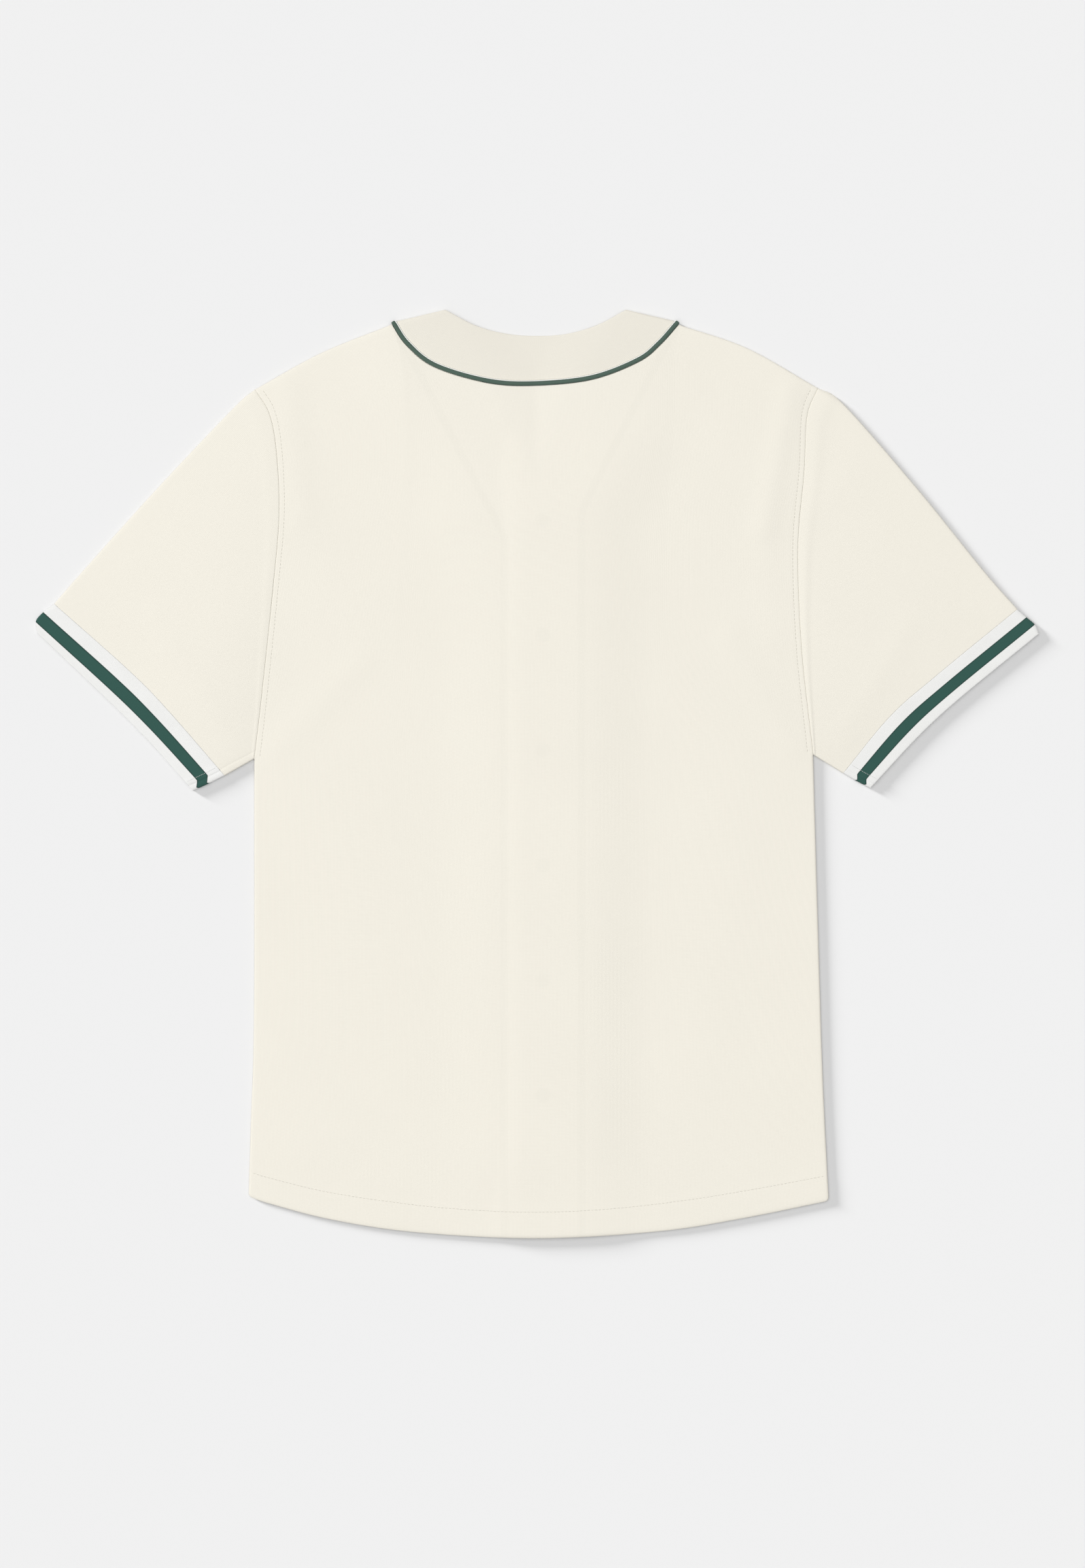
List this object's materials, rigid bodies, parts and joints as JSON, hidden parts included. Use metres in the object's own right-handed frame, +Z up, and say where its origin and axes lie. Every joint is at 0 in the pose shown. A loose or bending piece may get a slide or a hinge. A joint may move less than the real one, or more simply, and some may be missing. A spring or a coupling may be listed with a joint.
{
  "type": "short-sleeved button-front baseball jersey laid flat",
  "caption": "Short-sleeved baseball jersey laid flat on its front, back up, with a V neck, corded neck seam, striped sleeve tape and a curved shirt-tail hem.",
  "frame": {"origin": "centre of the bounding box, on the surface that the jersey lies on", "axes": "+X to the wearer's right, +Y towards the neck, +Z up, out of the back of the garment"},
  "size_m": [0.8327, 0.7706, 0.0061],
  "materials": {
    "cream_cloth": "smooth matt light woven cloth",
    "striped_tape": "fine knitted tape, white with one dark green stripe",
    "green_piping": "dark green corded piping with a slight sheen",
    "button_plastic": "dark green moulded four-hole button"
  },
  "bodies": {
    "root": {"back_panel": "cream_cloth", "front_left": "cream_cloth", "front_right": "cream_cloth", "sleeve_left": "cream_cloth", "sleeve_right": "cream_cloth", "cuff_tape_left": "striped_tape", "cuff_tape_right": "striped_tape", "neck_band_back": "cream_cloth", "front_band_left": "cream_cloth", "front_band_right": "cream_cloth", "piping_back_neck": "green_piping", "piping_front_left": "green_piping", "piping_front_right": "green_piping", "button_1": "button_plastic", "button_2": "button_plastic", "button_3": "button_plastic", "button_4": "button_plastic", "button_5": "button_plastic", "button_6": "button_plastic"}
  },
  "joints": []
}
